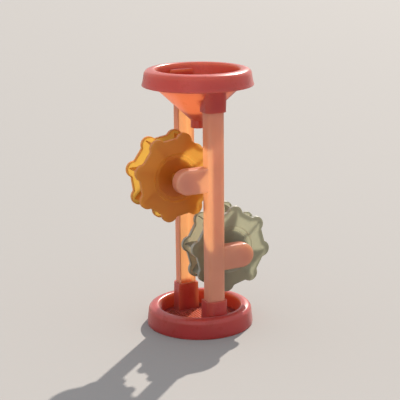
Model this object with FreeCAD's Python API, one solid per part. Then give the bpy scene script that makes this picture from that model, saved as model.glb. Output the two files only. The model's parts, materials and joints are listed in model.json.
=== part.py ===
import FreeCAD, Part
import math
import os

# Sand-and-water mill: a funnel dish on two posts, above two paddle wheels and a sieve tray.
# Millimetres, +Z up, origin at the centre of the tray's underside. The wheels turn on axles along Y.
# Everything with a front and a rear is built at +Y and mirrored to the front, at -Y. The upper wheel
# is on the -X side of the posts and the lower wheel on the +X side.

Vector = FreeCAD.Vector
ORIGIN = Vector(0, 0, 0)
UP = Vector(0, 0, 1)
REARWARD = Vector(0, 1, 0)

# Distances under which two points, or an edge and a plane, count as touching
SAME_POINT = 1e-6
IN_PLANE = 1e-3

# Dish and tray: lip radii, and heights below the crest of the lip
CREST_HEIGHT = 390.0
TRAY_CREST_HEIGHT = 29.5
RED_WALL = 2.4
OPENING_RADIUS = 62.5
CREST_RADIUS = 68.0
SHOULDER_RADIUS = 77.8
OPENING_DROP = 0.6
CREST_RISE = 0.35
SHOULDER_DROP = 2.2
OPENING_ROUND = 3.0
CREST_ROUND = 12.0
SHOULDER_ROUND = 7.5
RIM_ROUND = 0.9

# Dish: skirt, bowl, cone and spout
SKIRT_RADIUS = 82.4
SKIRT_BOTTOM = 366.0
FLARE_RADIUS = 80.8
FLARE_HEIGHT = 4.5
BOWL_RADIUS = 59.0
BOWL_BOTTOM = 362.4
BOWL_ROUND = 5.0
SPOUT_RADIUS = 8.6
SPOUT_TOP = 315.2
SPOUT_BOTTOM = 302.5
SPOUT_ROUND = 2.5

# Tray: outer wall, and the ledge that carries the sieve plate
TRAY_RADIUS = 80.4
TRAY_FOOT = 4.0
TRAY_FOOT_ROUND = 8.0
BASIN_RADIUS = 61.2
LEDGE_HEIGHT = 4.2
LEDGE_RADIUS = 55.0

# Sieve plate
SIEVE_THICKNESS = 3.4
SIEVE_PITCH = 4.5
SIEVE_GAP = 2.5
SIEVE_CLEARANCE = 0.3
SIEVE_SLOT_RADIUS = 53.5
SIEVE_BORDER = 2.8
SIEVE_RIB_SPACING = 22.0
SIEVE_RIB_WIDTH = 2.0
SIEVE_RIB_DEPTH = 1.6

# Posts: channels that are open towards the wheels
POST_WIDTH = 27.0
POST_INNER = 40.5
POST_OUTER = 59.0
POST_CORNER = 6.0
POST_WALL = 2.2
POST_BOTTOM = 8.0
POST_TOP = 352.0

# Sockets of the dish and the tray, round the ends of the posts
SOCKET_WALL = 3.1
SOCKET_GAP = 0.1
SOCKET_INNER_CORNER = 1.6
SOCKET_EDGE_ROUND = 0.8
DISH_SOCKET_BOTTOM = 333.0
DISH_SOCKET_TOP = 381.8
DISH_SOCKET_ROOM = 0.5
CAP_BOTTOM = 355.0
CAP_INNER = 50.0
CAP_WALL = 2.2
TRAY_SOCKET_TOP = 50.0
TRAY_SOCKET_FLOOR = 2.4
SOCKET_DRAFT = 1.1

# Arms, one piece with the posts, and the axles that they hold
ARM_OUTER = 56.5
ARM_RADIUS = 18.3
ARM_EDGE_ROUND = 3.0
UPPER_AXLE = (-44.7, 234.8)
LOWER_AXLE = (44.7, 113.4)
BOSS_RADIUS = 8.0
BOSS_RIB_THICKNESS = 1.6
BOSS_RIB_RECESS = 4.5
AXLE_RADIUS = 4.0
AXLE_END = 51.3
AXLE_END_ROUND = 0.8
AXLE_SEAT_GAP = 0.02
AXLE_RUNNING_GAP = 0.07
AXLE_SOCKET_END = 51.8
SPACER_RADIUS = 6.2
SPACER_INNER = 20.2
SPACER_OUTER = 40.4
SPACER_ROUND = 0.5

# Wheels: two knobbed discs with a drum of paddles between them
KNOBS = 8
KNOB_CENTRE = 54.5
KNOB_RADIUS = 12.3
KNOB_FILLET = 3.0
EDGE_APOTHEM = 57.2
UPPER_PHASE = 31.8
LOWER_PHASE = -7.5
DISC_OUTER = 18.9
DISC_WALL = 2.2
DISC_EDGE_ROUND = 0.9
RIM_WIDTH = 1.8
RIM_DEPTH = 6.0
DISH_RADIUS = 36.4
DISH_FLOOR_RADIUS = 34.6
DISH_DEPTH = 2.5
DISH_JOIN_RADIUS = 39.5
WELL_RADIUS = 30.2
WELL_FLOOR_RADIUS = 29.2
WELL_DEPTH = 3.9
WELL_ROUND = 0.5
WELL_ROOM = 1.6
DISC_STEP_ROUND = 1.6
HUB_RADIUS = 8.0
HUB_END = 19.9
HUB_ROUND = 0.5
DRUM_RADIUS = 28.0
DRUM_WALL = 2.0
DRUM_WEB = 2.2
INNER_FIT = 0.05
PADDLE_ROOT = 27.0
PADDLE_TIP = 60.8
PADDLE_SAG = 3.2
PADDLE_THICKNESS = 1.8


def plan(z):
    """Places (a, b) as (x, y) at height z."""
    return lambda point: Vector(point.x, point.y, z)


def elevation(y):
    """Places (a, b) as (x, z) at depth y."""
    return lambda point: Vector(point.x, y, point.y)


def section(point):
    """Places (a, b) as (radius, z), for turning about Z."""
    return Vector(point.x, 0, point.y)


def wheel_section(point):
    """Places (a, b) as (radius, y), for turning about Y."""
    return Vector(point.x, point.y, 0)


def outline(corners, place):
    """Closed wire through corners (a, b, radius), each turned by a tangent arc of its radius."""
    arcs = []
    for index, (a, b, radius) in enumerate(corners):
        corner = Vector(a, b, 0)
        after = corners[(index + 1) % len(corners)]
        back = (Vector(*corners[index - 1][:2], 0) - corner).normalize()
        ahead = (Vector(*after[:2], 0) - corner).normalize()
        half_angle = back.getAngle(ahead) / 2
        reach = radius / math.tan(half_angle)
        depth = radius / math.sin(half_angle) - radius
        middle = corner + (back + ahead).normalize() * depth
        arcs.append((corner + back * reach, middle, corner + ahead * reach))
    edges = []
    for index, (start, middle, end) in enumerate(arcs):
        if corners[index][2] > 0:
            edges.append(Part.Arc(place(start), place(middle), place(end)).toShape())
        following = arcs[(index + 1) % len(arcs)][0]
        if end.distanceToPoint(following) > SAME_POINT:
            edges.append(Part.LineSegment(place(end), place(following)).toShape())
    return Part.Wire(edges)


def wall_corners(chain, wall, end_round):
    """Corners of a wall of one thickness that lies to the right of an open chain of corners."""
    points = [Vector(a, b, 0) for a, b, _ in chain]
    normals = []
    for start, end in zip(points, points[1:]):
        run = (end - start).normalize()
        normals.append(Vector(run.y, -run.x, 0))
    near = [(*chain[0][:2], end_round)] + list(chain[1:-1]) + [(*chain[-1][:2], end_round)]
    first = points[0] + normals[0] * wall
    far = [(first.x, first.y, end_round)]
    for index, (_, _, radius) in enumerate(chain[1:-1]):
        before, after = normals[index], normals[index + 1]
        turns_right = before.cross(after).z < 0
        shifted = points[index + 1] + (before + after) * (wall / (1 + before.dot(after)))
        far_radius = max(radius - wall, end_round / 2) if turns_right else radius + wall
        far.append((shifted.x, shifted.y, far_radius))
    last = points[-1] + normals[-1] * wall
    far.append((last.x, last.y, end_round))
    return near + far[::-1]


def prism(wire, height, direction):
    return Part.Face(wire).extrude(direction * height)


def turned(corners, place, axis):
    return Part.Face(outline(corners, place)).revolve(ORIGIN, axis, 360)


def ring(inner_radius, outer_radius, low, high):
    """Tube along Y between two depths."""
    base = Vector(0, low, 0)
    outer = Part.makeCylinder(outer_radius, high - low, base, REARWARD)
    return outer.cut(Part.makeCylinder(inner_radius, high - low, base, REARWARD))


def edges_at(solid, axis, value):
    """Edges that lie wholly in the plane where the named coordinate has the value."""
    found = []
    for edge in solid.Edges:
        lowest = getattr(edge.BoundBox, axis + "Min")
        highest = getattr(edge.BoundBox, axis + "Max")
        if max(abs(lowest - value), abs(highest - value)) < IN_PLANE:
            found.append(edge)
    return found


def to_front(shape):
    """The same piece mirrored from the rear to the front."""
    return shape.mirror(ORIGIN, REARWARD)


def both_sides(shape):
    return [shape, to_front(shape)]


def at_axle(shape, axle):
    x, z = axle
    moved = shape.copy()
    moved.translate(Vector(x, 0, z))
    return moved


def lip(crest):
    """The lip's corners from the opening out to the shoulder, with the crest at the given height."""
    return [
        (OPENING_RADIUS, crest - OPENING_DROP, OPENING_ROUND),
        (CREST_RADIUS, crest + CREST_RISE, CREST_ROUND),
        (SHOULDER_RADIUS, crest - SHOULDER_DROP, SHOULDER_ROUND),
    ]


def socket_outline(growth, z, inner_corner, outer_corner):
    """Rounded rectangle round a post's end, grown on every side, at height z."""
    half = POST_WIDTH / 2 + growth
    near = POST_INNER - growth
    far = POST_OUTER + growth
    corners = [
        (-half, near, inner_corner),
        (half, near, inner_corner),
        (half, far, outer_corner),
        (-half, far, outer_corner),
    ]
    return outline(corners, plan(z))


def socket_block(narrow_z, wide_z, rounded_z):
    """Solid socket that widens by the draft from one height to the other, before it is hollowed."""
    growth = SOCKET_GAP + SOCKET_WALL
    corner = POST_CORNER + growth
    narrow = socket_outline(growth, narrow_z, SOCKET_INNER_CORNER, corner)
    wide = socket_outline(growth + SOCKET_DRAFT, wide_z, SOCKET_INNER_CORNER, corner)
    block = Part.makeLoft([narrow, wide], True, True)
    return block.makeFillet(SOCKET_EDGE_ROUND, edges_at(block, "Z", rounded_z))


def socket_cavity(low, high):
    corner = POST_CORNER + SOCKET_GAP
    return prism(socket_outline(SOCKET_GAP, low, SOCKET_GAP, corner), high - low, UP)


def dish_socket():
    """Socket over the rear post, cut back inside the bowl to a shallow cap against its wall."""
    block = socket_block(DISH_SOCKET_BOTTOM, DISH_SOCKET_TOP, DISH_SOCKET_TOP)
    corner = Vector(-POST_WIDTH, 0, CAP_BOTTOM)
    return block.cut(Part.makeBox(2 * POST_WIDTH, CAP_INNER, DISH_SOCKET_TOP - CAP_BOTTOM, corner))


def dish_socket_room():
    """What is hollow in the dish's socket: round the post's end, and up inside the cap."""
    bottom = POST_TOP + DISH_SOCKET_ROOM
    half = POST_WIDTH / 2 + SOCKET_GAP
    near = CAP_INNER + CAP_WALL
    depth = POST_OUTER + SOCKET_GAP - near
    cap = Part.makeBox(2 * half, depth, DISH_SOCKET_TOP - CAP_WALL - bottom, Vector(-half, near, bottom))
    return [socket_cavity(DISH_SOCKET_BOTTOM, bottom), cap]


def funnel_dish():
    """Lipped bowl that runs down into a cone and a spout, with a socket over each post."""
    chain = [
        (SPOUT_RADIUS, SPOUT_BOTTOM, 0),
        (SPOUT_RADIUS, SPOUT_TOP, SPOUT_ROUND),
        (BOWL_RADIUS, BOWL_BOTTOM, BOWL_ROUND),
        *lip(CREST_HEIGHT),
        (FLARE_RADIUS, SKIRT_BOTTOM + FLARE_HEIGHT, SHOULDER_ROUND),
        (SKIRT_RADIUS, SKIRT_BOTTOM, 0),
    ]
    dish = turned(wall_corners(chain, RED_WALL, RIM_ROUND), section, UP)
    rooms = dish_socket_room()
    dish = dish.fuse(both_sides(dish_socket()))
    return dish.cut(rooms + [to_front(room) for room in rooms]).removeSplitter()


def sieve_tray():
    """Low ring with a basin wall, a ledge for the sieve plate and a socket under each post."""
    chain = [
        (LEDGE_RADIUS, LEDGE_HEIGHT, 0),
        (BASIN_RADIUS, LEDGE_HEIGHT, 0),
        *lip(TRAY_CREST_HEIGHT),
        (TRAY_RADIUS, TRAY_FOOT, TRAY_FOOT_ROUND),
        (TRAY_RADIUS, 0, 0),
    ]
    tray = turned(wall_corners(chain, RED_WALL, RIM_ROUND), section, UP)
    bottom = LEDGE_HEIGHT - RED_WALL
    block = socket_block(TRAY_SOCKET_TOP, bottom, TRAY_SOCKET_TOP)
    tray = tray.fuse(both_sides(block))
    seat = socket_cavity(POST_BOTTOM, TRAY_SOCKET_TOP)
    recess = socket_cavity(bottom, POST_BOTTOM - TRAY_SOCKET_FLOOR)
    return tray.cut(both_sides(seat) + both_sides(recess)).removeSplitter()


def sieve_slot(x, half_length):
    """Round-ended slot along Y through the sieve plate."""
    half = SIEVE_GAP / 2
    reach = half_length + half
    quarters = ((-1, -1), (1, -1), (1, 1), (-1, 1))
    corners = [(x + side * half, end * reach, half) for side, end in quarters]
    return prism(outline(corners, plan(LEDGE_HEIGHT)), SIEVE_THICKNESS, UP)


def sieve_plate():
    """Slatted disc that drops on the tray's ledge between the sockets."""
    radius = BASIN_RADIUS - SIEVE_CLEARANCE
    plate = Part.makeCylinder(radius, SIEVE_THICKNESS, Vector(0, 0, LEDGE_HEIGHT))
    growth = SOCKET_GAP + SOCKET_WALL + SOCKET_DRAFT + SIEVE_CLEARANCE
    notch_half = POST_WIDTH / 2 + growth
    notch_near = POST_INNER - growth
    corner = Vector(-notch_half, notch_near, 0)
    notch = Part.makeBox(2 * notch_half, radius, LEDGE_HEIGHT + SIEVE_THICKNESS, corner)
    count = int(SIEVE_SLOT_RADIUS / SIEVE_PITCH)
    slots = []
    for index in range(-count, count + 1):
        x = index * SIEVE_PITCH
        half_length = math.sqrt(SIEVE_SLOT_RADIUS**2 - x**2)
        if abs(x) < notch_half + SIEVE_BORDER:
            half_length = notch_near - SIEVE_BORDER
        slots.append(sieve_slot(x, half_length))
    ribs = []
    for y in (-SIEVE_RIB_SPACING, 0, SIEVE_RIB_SPACING):
        edge = abs(y) + SIEVE_RIB_WIDTH / 2
        half_length = math.sqrt((LEDGE_RADIUS - SIEVE_CLEARANCE)**2 - edge**2)
        start = Vector(-half_length, y - SIEVE_RIB_WIDTH / 2, LEDGE_HEIGHT - SIEVE_RIB_DEPTH)
        ribs.append(Part.makeBox(2 * half_length, SIEVE_RIB_WIDTH, SIEVE_RIB_DEPTH, start))
    return plate.cut(both_sides(notch) + slots).fuse(ribs).removeSplitter()


def channel(inset):
    """Post's block, drawn in by inset on its closed sides and run past its open side."""
    half = POST_WIDTH / 2 - inset
    corner = POST_CORNER - inset
    outer = POST_OUTER - inset
    inner = POST_INNER - inset
    corners = [(-half, inner, 0), (half, inner, 0), (half, outer, corner), (-half, outer, corner)]
    bottom = POST_BOTTOM + inset
    return prism(outline(corners, plan(bottom)), POST_TOP - inset - bottom, UP)


def arm(axle, inset):
    """Round-ended arm from the post out to an axle, drawn in by inset like the post."""
    x, z = axle
    side = math.copysign(1, x)
    radius = ARM_RADIUS - inset
    end = x + side * radius
    inner = POST_INNER - inset
    outer = ARM_OUTER - inset
    low = z - radius
    high = z + radius
    corners = [(0, low, 0), (end, low, radius), (end, high, radius), (0, high, 0)]
    block = prism(outline(corners, elevation(inner)), outer - inner, REARWARD)
    return block.makeFillet(ARM_EDGE_ROUND - inset, edges_at(block, "Y", outer))


def boss(axle):
    """Axle's boss inside an arm, with a rib above and below it out to the arm's wall."""
    x, z = axle
    floor = ARM_OUTER - POST_WALL / 2
    depth = floor - POST_INNER
    centre = Vector(x, POST_INNER, z)
    block = Part.makeCylinder(BOSS_RADIUS, depth, centre, REARWARD)
    near = POST_INNER + BOSS_RIB_RECESS
    reach = ARM_RADIUS - POST_WALL / 2
    half = BOSS_RIB_THICKNESS / 2
    rib = Part.makeBox(2 * half, floor - near, 2 * reach, Vector(x - half, near, z - reach))
    return block.fuse(rib)


def rear_post():
    """Channel with an arm for each wheel, hollow from the inner side."""
    axles = (UPPER_AXLE, LOWER_AXLE)
    solid = channel(0).fuse([arm(axle, 0) for axle in axles]).removeSplitter()
    hollow = channel(POST_WALL).fuse([arm(axle, POST_WALL) for axle in axles])
    post = solid.cut(hollow).fuse([boss(axle) for axle in axles])
    depth = AXLE_SOCKET_END - POST_INNER
    radius = AXLE_RADIUS + AXLE_SEAT_GAP
    seats = [Part.makeCylinder(radius, depth, Vector(x, POST_INNER, z), REARWARD) for x, z in axles]
    return post.cut(seats).removeSplitter()


def knobbed_outline(inset, y):
    """Eight knobs joined by straight edges with hollow corners, drawn in by inset, at depth y."""
    step = 2 * math.pi / KNOBS
    knob_radius = KNOB_RADIUS - inset
    hollow = KNOB_FILLET + inset
    apothem = EDGE_APOTHEM - inset
    knob_along = KNOB_CENTRE * math.sin(step / 2)
    knob_out = KNOB_CENTRE * math.cos(step / 2)
    hollow_out = apothem + hollow
    hollow_along = knob_along - math.sqrt((knob_radius + hollow)**2 - (hollow_out - knob_out)**2)
    share = knob_radius / (knob_radius + hollow)
    hollow_centre = Vector(-hollow_along, hollow_out, 0)
    on_edge = Vector(-hollow_along, apothem, 0)
    knob_centre = Vector(-knob_along, knob_out, 0)
    on_knob = knob_centre + (hollow_centre - knob_centre) * share
    middle = hollow_centre + (on_edge + on_knob - hollow_centre * 2).normalize() * hollow
    place = elevation(y)
    edges = []
    for index in range(KNOBS):
        angle = index * step

        def put(along, out, turn=angle + step / 2):
            a = out * math.cos(turn) - along * math.sin(turn)
            b = out * math.sin(turn) + along * math.cos(turn)
            return place(Vector(a, b, 0))

        def put_before(along, out, turn=angle - step / 2):
            return put(along, out, turn)

        knob_tip = (KNOB_CENTRE + knob_radius) * Vector(math.cos(angle), math.sin(angle), 0)
        knob_start = put_before(-on_knob.x, on_knob.y)
        edges.append(Part.Arc(knob_start, place(knob_tip), put(on_knob.x, on_knob.y)).toShape())
        first = [put(point.x, point.y) for point in (on_knob, middle, on_edge)]
        second = [put(-point.x, point.y) for point in (on_edge, middle, on_knob)]
        edges.append(Part.Arc(*first).toShape())
        edges.append(Part.LineSegment(first[-1], second[0]).toShape())
        edges.append(Part.Arc(*second).toShape())
    return Part.Wire(edges)


def rear_disc():
    """Knobbed disc with a raised inner rim, a dished middle, a well round the hub, about the origin."""
    inner = DISC_OUTER - RIM_DEPTH
    disc = prism(knobbed_outline(0, inner), RIM_DEPTH, REARWARD)
    disc = disc.makeFillet(DISC_EDGE_ROUND, edges_at(disc, "Y", DISC_OUTER))
    pocket = prism(knobbed_outline(RIM_WIDTH, inner), RIM_DEPTH - DISC_WALL, REARWARD)
    middle = Part.makeCylinder(DISH_JOIN_RADIUS, RIM_DEPTH, Vector(0, inner, 0), REARWARD)
    floor = DISC_OUTER - WELL_DEPTH
    chain = [
        (HUB_RADIUS / 2, floor, 0),
        (WELL_FLOOR_RADIUS, floor, WELL_ROUND),
        (WELL_RADIUS, DISC_OUTER - DISH_DEPTH, WELL_ROUND),
        (DISH_FLOOR_RADIUS, DISC_OUTER - DISH_DEPTH, DISC_STEP_ROUND),
        (DISH_RADIUS, DISC_OUTER, DISC_STEP_ROUND),
        (DISH_JOIN_RADIUS, DISC_OUTER, 0),
    ]
    dish = turned(wall_corners(chain, DISC_WALL, 0), wheel_section, REARWARD)
    start = floor - DISC_WALL
    hub = Part.makeCylinder(HUB_RADIUS, HUB_END - start, Vector(0, start, 0), REARWARD)
    hub = hub.makeFillet(HUB_ROUND, edges_at(hub, "Y", HUB_END))
    bore_radius = AXLE_RADIUS + AXLE_RUNNING_GAP
    bore = Part.makeCylinder(bore_radius, HUB_END - start, Vector(0, start, 0), REARWARD)
    return disc.cut([pocket, middle]).fuse([dish, hub]).cut(bore).removeSplitter()


def paddle():
    """One paddle along +X, a strip bowed to the clockwise side, as wide as the gap between the discs."""
    half_width = DISC_OUTER - DISC_WALL - INNER_FIT
    half = PADDLE_THICKNESS / 2
    place = elevation(-half_width)
    middle = (PADDLE_ROOT + PADDLE_TIP) / 2
    line = ((PADDLE_ROOT, 0), (middle, -PADDLE_SAG), (PADDLE_TIP, 0))
    bow = [[place(Vector(a, b + offset, 0)) for a, b in line] for offset in (-half, half)]
    tip = place(Vector(PADDLE_TIP + half, 0, 0))
    edges = [
        Part.Arc(*bow[0]).toShape(),
        Part.Arc(bow[0][-1], tip, bow[1][-1]).toShape(),
        Part.Arc(*bow[1][::-1]).toShape(),
        Part.LineSegment(bow[1][0], bow[0][0]).toShape(),
    ]
    return prism(Part.Wire(edges), 2 * half_width, REARWARD)


def paddle_drum():
    """Hollow drum with a web and a bearing tube, and the paddles round it, about the origin."""
    half_width = DISC_OUTER - WELL_DEPTH - DISC_WALL - INNER_FIT
    wall = ring(DRUM_RADIUS - DRUM_WALL, DRUM_RADIUS, -half_width, half_width)
    web = ring(HUB_RADIUS, DRUM_RADIUS - DRUM_WALL, -DRUM_WEB / 2, DRUM_WEB / 2)
    tube = ring(AXLE_RADIUS + AXLE_RUNNING_GAP, HUB_RADIUS, -half_width, half_width)
    step = 360 / KNOBS
    paddles = []
    for index in range(KNOBS):
        turned_paddle = paddle()
        turned_paddle.rotate(ORIGIN, REARWARD, -index * step)
        paddles.append(turned_paddle)
    dish_room = [
        (0, half_width, 0),
        (WELL_FLOOR_RADIUS + WELL_ROOM, half_width, 0),
        (WELL_RADIUS + WELL_ROOM, half_width + WELL_DEPTH - DISH_DEPTH, 0),
        (DISH_FLOOR_RADIUS + DISC_STEP_ROUND, half_width + WELL_DEPTH - DISH_DEPTH, 0),
        (DISH_RADIUS + DISC_STEP_ROUND, half_width + WELL_DEPTH, 0),
        (0, half_width + WELL_DEPTH, 0),
    ]
    clearance = turned(dish_room, wheel_section, REARWARD)
    trimmed = [blade.cut(both_sides(clearance)) for blade in paddles]
    return wall.fuse([web, tube] + trimmed).removeSplitter()


def axle_pin():
    pin = Part.makeCylinder(AXLE_RADIUS, 2 * AXLE_END, Vector(0, -AXLE_END, 0), REARWARD)
    ends = edges_at(pin, "Y", AXLE_END) + edges_at(pin, "Y", -AXLE_END)
    return pin.makeFillet(AXLE_END_ROUND, ends)


def rear_spacer():
    """Sleeve that keeps a wheel half-way between the arms."""
    sleeve = ring(AXLE_RADIUS + AXLE_RUNNING_GAP, SPACER_RADIUS, SPACER_INNER, SPACER_OUTER)
    rims = edges_at(sleeve, "Y", SPACER_INNER) + edges_at(sleeve, "Y", SPACER_OUTER)
    outer = [edge for edge in rims if edge.Curve.Radius > AXLE_RADIUS + SPACER_ROUND]
    return sleeve.makeFillet(SPACER_ROUND, outer)


def wheel_nodes(name, axle, phase):
    """The six pieces on one axle, with the wheel's knobs turned by phase from +X towards +Z."""
    disc = rear_disc()
    drum = paddle_drum()
    front = to_front(disc)
    for piece in (disc, drum, front):
        piece.rotate(ORIGIN, REARWARD, -phase)
    spacer = rear_spacer()
    pieces = {
        f"{name}_wheel_front_disc": front,
        f"{name}_wheel_rear_disc": disc,
        f"{name}_wheel_paddles": drum,
        f"{name}_axle": axle_pin(),
        f"{name}_front_spacer": to_front(spacer),
        f"{name}_rear_spacer": spacer,
    }
    return {node: at_axle(piece, axle) for node, piece in pieces.items()}


def mill_nodes():
    post = rear_post()
    nodes = {
        "sieve_tray": sieve_tray(),
        "sieve_plate": sieve_plate(),
        "front_post": to_front(post),
        "rear_post": post,
        "funnel_dish": funnel_dish(),
    }
    nodes.update(wheel_nodes("upper", UPPER_AXLE, UPPER_PHASE))
    nodes.update(wheel_nodes("lower", LOWER_AXLE, LOWER_PHASE))
    return nodes


def main():
    os.makedirs("parts", exist_ok=True)
    for name, shape in mill_nodes().items():
        shape.exportStep(f"parts/{name}.step")
        volume = shape.Volume / 1000
        print(f"{name}: {len(shape.Solids)} solid, valid {shape.isValid()}, {volume:.2f} cm3")


main()
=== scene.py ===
import json
import math
import bpy
from mathutils import Euler, Matrix, Vector


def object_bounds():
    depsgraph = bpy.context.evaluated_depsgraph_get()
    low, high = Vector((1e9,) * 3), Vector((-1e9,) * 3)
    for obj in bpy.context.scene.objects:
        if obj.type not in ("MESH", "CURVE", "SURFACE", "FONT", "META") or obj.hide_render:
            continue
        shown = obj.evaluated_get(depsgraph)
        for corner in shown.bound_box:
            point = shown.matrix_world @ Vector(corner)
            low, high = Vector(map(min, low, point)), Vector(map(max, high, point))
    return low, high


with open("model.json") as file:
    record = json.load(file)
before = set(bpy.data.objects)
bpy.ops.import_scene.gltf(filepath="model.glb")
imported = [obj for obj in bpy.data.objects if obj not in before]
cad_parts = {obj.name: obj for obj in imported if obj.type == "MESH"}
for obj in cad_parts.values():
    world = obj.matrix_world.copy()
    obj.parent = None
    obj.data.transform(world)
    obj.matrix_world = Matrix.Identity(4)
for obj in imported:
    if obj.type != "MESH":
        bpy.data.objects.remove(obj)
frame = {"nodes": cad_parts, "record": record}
cad_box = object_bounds()

# Sand-and-water mill on a pale floor. Metres, +Z up, the mill's front post towards -Y.

# Camera: where it stands, and how it is turned and framed
CAMERA_PLACE = Vector((-0.7517, -1.4752, 0.6253))
CAMERA_YAW = math.radians(-27.0)
CAMERA_PITCH = math.radians(14.67)
CAMERA_ROLL = math.radians(-0.57)
CAMERA_LENS_MM = 103.04
CAMERA_SENSOR_MM = 36.0
CAMERA_SHIFT = 0.0027
CAMERA_REACH = 100.0

# Light: the key lamp stands behind the mill to the right, its turn measured from +Y towards +X
KEY_TURN = math.radians(48.0)
KEY_HEIGHT = math.radians(36.0)
KEY_SPREAD = math.radians(0.9)
KEY_STRENGTH = 6.9
KEY_COLOUR = (1.0, 0.93, 0.84)
FILL_DIRECTION = Vector((-0.75, -0.9, 0.55))
FILL_SIZE = 1.6
FILL_WATTS = 2.0
FILL_COLOUR = (0.93, 0.96, 1.0)
LAMP_DISTANCE = 2.2
SKY_COLOUR = (0.93, 0.95, 1.0)
SKY_STRENGTH = 1.0

# Floor: matt and even
FLOOR_REACH = 60.0
FLOOR_COLOUR = (0.288, 0.278, 0.268)
FLOOR_ROUGHNESS = 0.9
FLOOR_SPECULAR = 0.1

# Moulded plastic: the clouds in its colour, the smears in its gloss, its grain and its clear skin.
# Noise scales are in features per metre.
CLOUD_SCALE = 16.0
CLOUD_DETAIL = 3.0
CLOUD_ROUGHNESS = 0.5
CLOUD_DISTORTION = 0.8
CLOUD_DEEP_AT = 0.30
CLOUD_BODY_AT = 0.52
CLOUD_PALE_AT = 0.74
SMEAR_SCALE = 75.0
SMEAR_DETAIL = 5.0
SMEAR_ROUGHNESS = 0.6
SMEAR_GLOSSIER = 0.08
SMEAR_DULLER = 0.10
GRAIN_SCALE = 2200.0
GRAIN_DETAIL = 2.0
GRAIN_ROUGHNESS = 0.6
GRAIN_STRENGTH = 0.10
GRAIN_HEIGHT = 0.0003
PLASTIC_IOR = 1.49
PLASTIC_SPECULAR = 1.0
COAT_ROUGHNESS = 0.30
SHEEN_ROUGHNESS = 0.45


def link(tree, source, target):
    tree.links.new(source, target)


def add(tree, kind, **values):
    """A shader node with its named input sockets set."""
    node = tree.nodes.new(kind)
    for name, value in values.items():
        node.inputs[name.replace("_", " ")].default_value = value
    return node


def noise(tree, place, scale, detail, roughness, distortion=0.0):
    node = add(tree, "ShaderNodeTexNoise", Scale=scale, Detail=detail, Roughness=roughness)
    node.inputs["Distortion"].default_value = distortion
    link(tree, place, node.inputs["Vector"])
    return node.outputs["Fac"]


def ramp(tree, factor, stops):
    """Colour ramp through stops of (position, colour)."""
    node = tree.nodes.new("ShaderNodeValToRGB")
    elements = node.color_ramp.elements
    while len(elements) < len(stops):
        elements.new(0.5)
    for element, (position, colour) in zip(elements, stops):
        element.position = position
        element.color = (*colour, 1.0)
    link(tree, factor, node.inputs["Fac"])
    return node.outputs["Color"]


def spread(tree, factor, low, high):
    """The factor from 0 to 1 spread between two values."""
    node = add(tree, "ShaderNodeMapRange", To_Min=low, To_Max=high)
    link(tree, factor, node.inputs["Value"])
    return node.outputs["Result"]


def new_material(name):
    material = bpy.data.materials.new(name)
    material.use_nodes = True
    tree = material.node_tree
    return material, tree, tree.nodes["Principled BSDF"]


def wall_share(tree, facing, edgewise):
    """How much light a wall passes: facing if it lies across the axles, edgewise if it lies along them."""
    normal = tree.nodes.new("ShaderNodeTexCoord").outputs["Normal"]
    split = tree.nodes.new("ShaderNodeSeparateXYZ")
    link(tree, normal, split.inputs[0])
    size = tree.nodes.new("ShaderNodeMath")
    size.operation = "ABSOLUTE"
    link(tree, split.outputs["Y"], size.inputs[0])
    return spread(tree, size.outputs[0], edgewise, facing)


def frosted_plastic(name, deep, body, pale, through, share, roughness, coat, sheen, edge_share=None):
    """Moulded polypropylene: milky, with slow flow clouds and a fine grain, and light comes through it.

    share is how much light goes through a wall, and edge_share how much where it lies along the axles.
    """
    material, tree, shader = new_material(name)
    place = tree.nodes.new("ShaderNodeTexCoord").outputs["Object"]
    clouds = noise(tree, place, CLOUD_SCALE, CLOUD_DETAIL, CLOUD_ROUGHNESS, CLOUD_DISTORTION)
    colour = ramp(tree, clouds, [(CLOUD_DEEP_AT, deep), (CLOUD_BODY_AT, body), (CLOUD_PALE_AT, pale)])
    link(tree, colour, shader.inputs["Base Color"])
    smears = noise(tree, place, SMEAR_SCALE, SMEAR_DETAIL, SMEAR_ROUGHNESS)
    gloss = spread(tree, smears, roughness - SMEAR_GLOSSIER, roughness + SMEAR_DULLER)
    link(tree, gloss, shader.inputs["Roughness"])
    grain = noise(tree, place, GRAIN_SCALE, GRAIN_DETAIL, GRAIN_ROUGHNESS)
    bump = add(tree, "ShaderNodeBump", Strength=GRAIN_STRENGTH, Distance=GRAIN_HEIGHT)
    link(tree, grain, bump.inputs["Height"])
    link(tree, bump.outputs["Normal"], shader.inputs["Normal"])
    shader.inputs["IOR"].default_value = PLASTIC_IOR
    shader.inputs["Specular IOR Level"].default_value = PLASTIC_SPECULAR
    shader.inputs["Coat Weight"].default_value = coat
    shader.inputs["Coat Roughness"].default_value = COAT_ROUGHNESS
    shader.inputs["Sheen Weight"].default_value = sheen
    shader.inputs["Sheen Roughness"].default_value = SHEEN_ROUGHNESS
    glow = add(tree, "ShaderNodeBsdfTranslucent", Color=(*through, 1.0))
    mix = add(tree, "ShaderNodeMixShader", Fac=share)
    if edge_share is not None:
        link(tree, wall_share(tree, share, edge_share), mix.inputs["Fac"])
    link(tree, shader.outputs["BSDF"], mix.inputs[1])
    link(tree, glow.outputs["BSDF"], mix.inputs[2])
    link(tree, mix.outputs["Shader"], tree.nodes["Material Output"].inputs["Surface"])
    return material


def coral_plastic():
    """Dish, tray and sieve."""
    return frosted_plastic(
        "coral_plastic",
        deep=(0.48, 0.012, 0.022),
        body=(0.58, 0.018, 0.032),
        pale=(0.66, 0.032, 0.048),
        through=(0.80, 0.445, 0.26),
        share=0.60,
        roughness=0.28,
        coat=0.8,
        sheen=0.35,
    )


def peach_plastic():
    """Posts."""
    return frosted_plastic(
        "peach_plastic",
        deep=(0.72, 0.29, 0.22),
        body=(0.80, 0.355, 0.275),
        pale=(0.88, 0.42, 0.33),
        through=(0.89, 0.65, 0.40),
        share=0.62,
        roughness=0.32,
        coat=0.6,
        sheen=0.25,
    )


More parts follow.
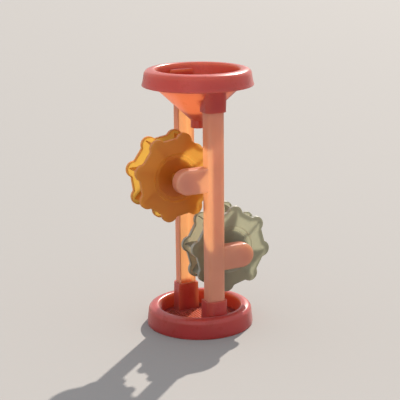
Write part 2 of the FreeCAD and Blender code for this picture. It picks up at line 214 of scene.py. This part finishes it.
def amber_plastic():
    """Upper wheel."""
    return frosted_plastic(
        "amber_plastic",
        deep=(0.58, 0.14, 0.006),
        body=(0.66, 0.17, 0.010),
        pale=(0.74, 0.21, 0.015),
        through=(0.86, 0.70, 0.30),
        share=0.68,
        edge_share=0.50,
        roughness=0.36,
        coat=0.1,
        sheen=0.0,
    )


def sage_plastic():
    """Lower wheel."""
    return frosted_plastic(
        "sage_plastic",
        deep=(0.20, 0.19, 0.14),
        body=(0.26, 0.245, 0.18),
        pale=(0.31, 0.30, 0.22),
        through=(0.78, 0.775, 0.64),
        share=0.60,
        edge_share=0.20,
        roughness=0.32,
        coat=0.4,
        sheen=0.10,
    )


def natural_plastic():
    """Axles and spacers."""
    return frosted_plastic(
        "natural_plastic",
        deep=(0.70, 0.66, 0.58),
        body=(0.78, 0.74, 0.66),
        pale=(0.84, 0.81, 0.74),
        through=(0.90, 0.86, 0.78),
        share=0.50,
        roughness=0.40,
        coat=0.3,
        sheen=0.10,
    )


def finish_nodes():
    """Gives each CAD node the plastic of its slot in the record."""
    plastics = {
        "coral_plastic": coral_plastic(),
        "peach_plastic": peach_plastic(),
        "amber_plastic": amber_plastic(),
        "sage_plastic": sage_plastic(),
        "natural_plastic": natural_plastic(),
    }
    for part in frame["record"]["subparts"]:
        node = frame["nodes"][part["node"]]
        for slot in node.material_slots:
            slot.material = plastics[part["material_slot"]]


def make_floor():
    mesh = bpy.data.meshes.new("floor")
    low, high = -FLOOR_REACH, FLOOR_REACH
    corners = [(low, low, 0.0), (high, low, 0.0), (high, high, 0.0), (low, high, 0.0)]
    mesh.from_pydata(corners, [], [(0, 1, 2, 3)])
    floor = bpy.data.objects.new("floor", mesh)
    bpy.context.scene.collection.objects.link(floor)
    material, _, shader = new_material("pale_floor")
    shader.inputs["Base Color"].default_value = (*FLOOR_COLOUR, 1.0)
    shader.inputs["Roughness"].default_value = FLOOR_ROUGHNESS
    shader.inputs["Specular IOR Level"].default_value = FLOOR_SPECULAR
    mesh.materials.append(material)


def place_lamp(light, direction):
    """Hangs the light out from the mill's middle and points it there."""
    lamp = bpy.data.objects.new(light.name, light)
    low, high = cad_box
    middle = (Vector(low) + Vector(high)) / 2
    lamp.location = middle + direction.normalized() * LAMP_DISTANCE
    lamp.rotation_euler = direction.to_track_quat("Z", "Y").to_euler()
    bpy.context.scene.collection.objects.link(lamp)


def direction_to(turn, height):
    """Unit vector at an angle from +Y towards +X and an angle above the floor."""
    level = math.cos(height)
    return Vector((math.sin(turn) * level, math.cos(turn) * level, math.sin(height)))


def make_key():
    light = bpy.data.lights.new("key", "SUN")
    light.angle = KEY_SPREAD
    light.energy = KEY_STRENGTH
    light.color = KEY_COLOUR
    place_lamp(light, direction_to(KEY_TURN, KEY_HEIGHT))


def make_fill():
    light = bpy.data.lights.new("fill", "AREA")
    light.shape = "DISK"
    light.size = FILL_SIZE
    light.energy = FILL_WATTS
    light.color = FILL_COLOUR
    place_lamp(light, FILL_DIRECTION)


def make_sky():
    world = bpy.data.worlds.new("sky")
    world.use_nodes = True
    background = world.node_tree.nodes["Background"]
    background.inputs["Color"].default_value = (*SKY_COLOUR, 1.0)
    background.inputs["Strength"].default_value = SKY_STRENGTH
    bpy.context.scene.world = world


def make_camera():
    camera = bpy.data.cameras.new("camera")
    camera.sensor_width = CAMERA_SENSOR_MM
    camera.lens = CAMERA_LENS_MM
    camera.shift_x = CAMERA_SHIFT
    camera.clip_end = CAMERA_REACH
    stand = bpy.data.objects.new("camera", camera)
    level = Euler((math.pi / 2 - CAMERA_PITCH, 0.0, CAMERA_YAW)).to_matrix().to_4x4()
    stand.matrix_world = Matrix.Translation(CAMERA_PLACE) @ level @ Matrix.Rotation(CAMERA_ROLL, 4, "Z")
    bpy.context.scene.collection.objects.link(stand)
    bpy.context.scene.camera = stand


finish_nodes()
make_floor()
make_key()
make_fill()
make_sky()
make_camera()
bpy.context.scene.view_settings.view_transform = "Standard"
